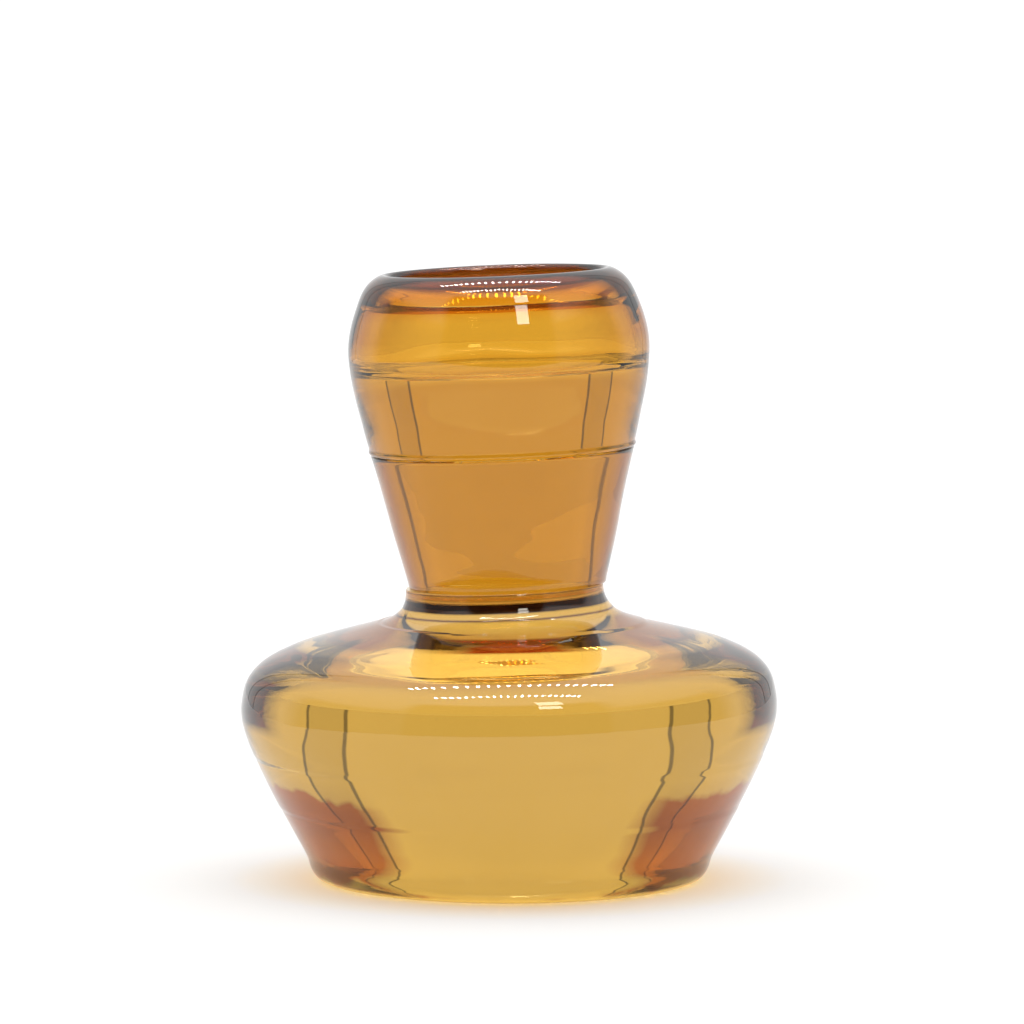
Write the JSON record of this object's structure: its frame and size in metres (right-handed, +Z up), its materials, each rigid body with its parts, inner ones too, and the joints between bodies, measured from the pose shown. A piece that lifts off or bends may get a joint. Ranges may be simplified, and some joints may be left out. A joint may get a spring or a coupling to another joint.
{
  "type": "glass candle flask",
  "caption": "Squat solid-glass bowl foot with a narrow waist, a hollow flared neck and a thick-bottomed cup whose curled-in mouth takes a tealight.",
  "frame": {"origin": "centre of the flat rest face under the bowl", "axes": "+Z up along the bowl's axis; the neck leans 2.2 degrees towards -X"},
  "size_m": [0.102, 0.102, 0.1167],
  "materials": {
    "foot_glass": "clear core under a pale amber skin, fire-polished",
    "neck_glass": "deep amber, fire-polished",
    "cup_glass": "deep amber, fire-polished"
  },
  "bodies": {
    "root": {"foot_bowl": "foot_glass", "neck_sleeve": "neck_glass", "candle_cup": "cup_glass"}
  },
  "joints": []
}
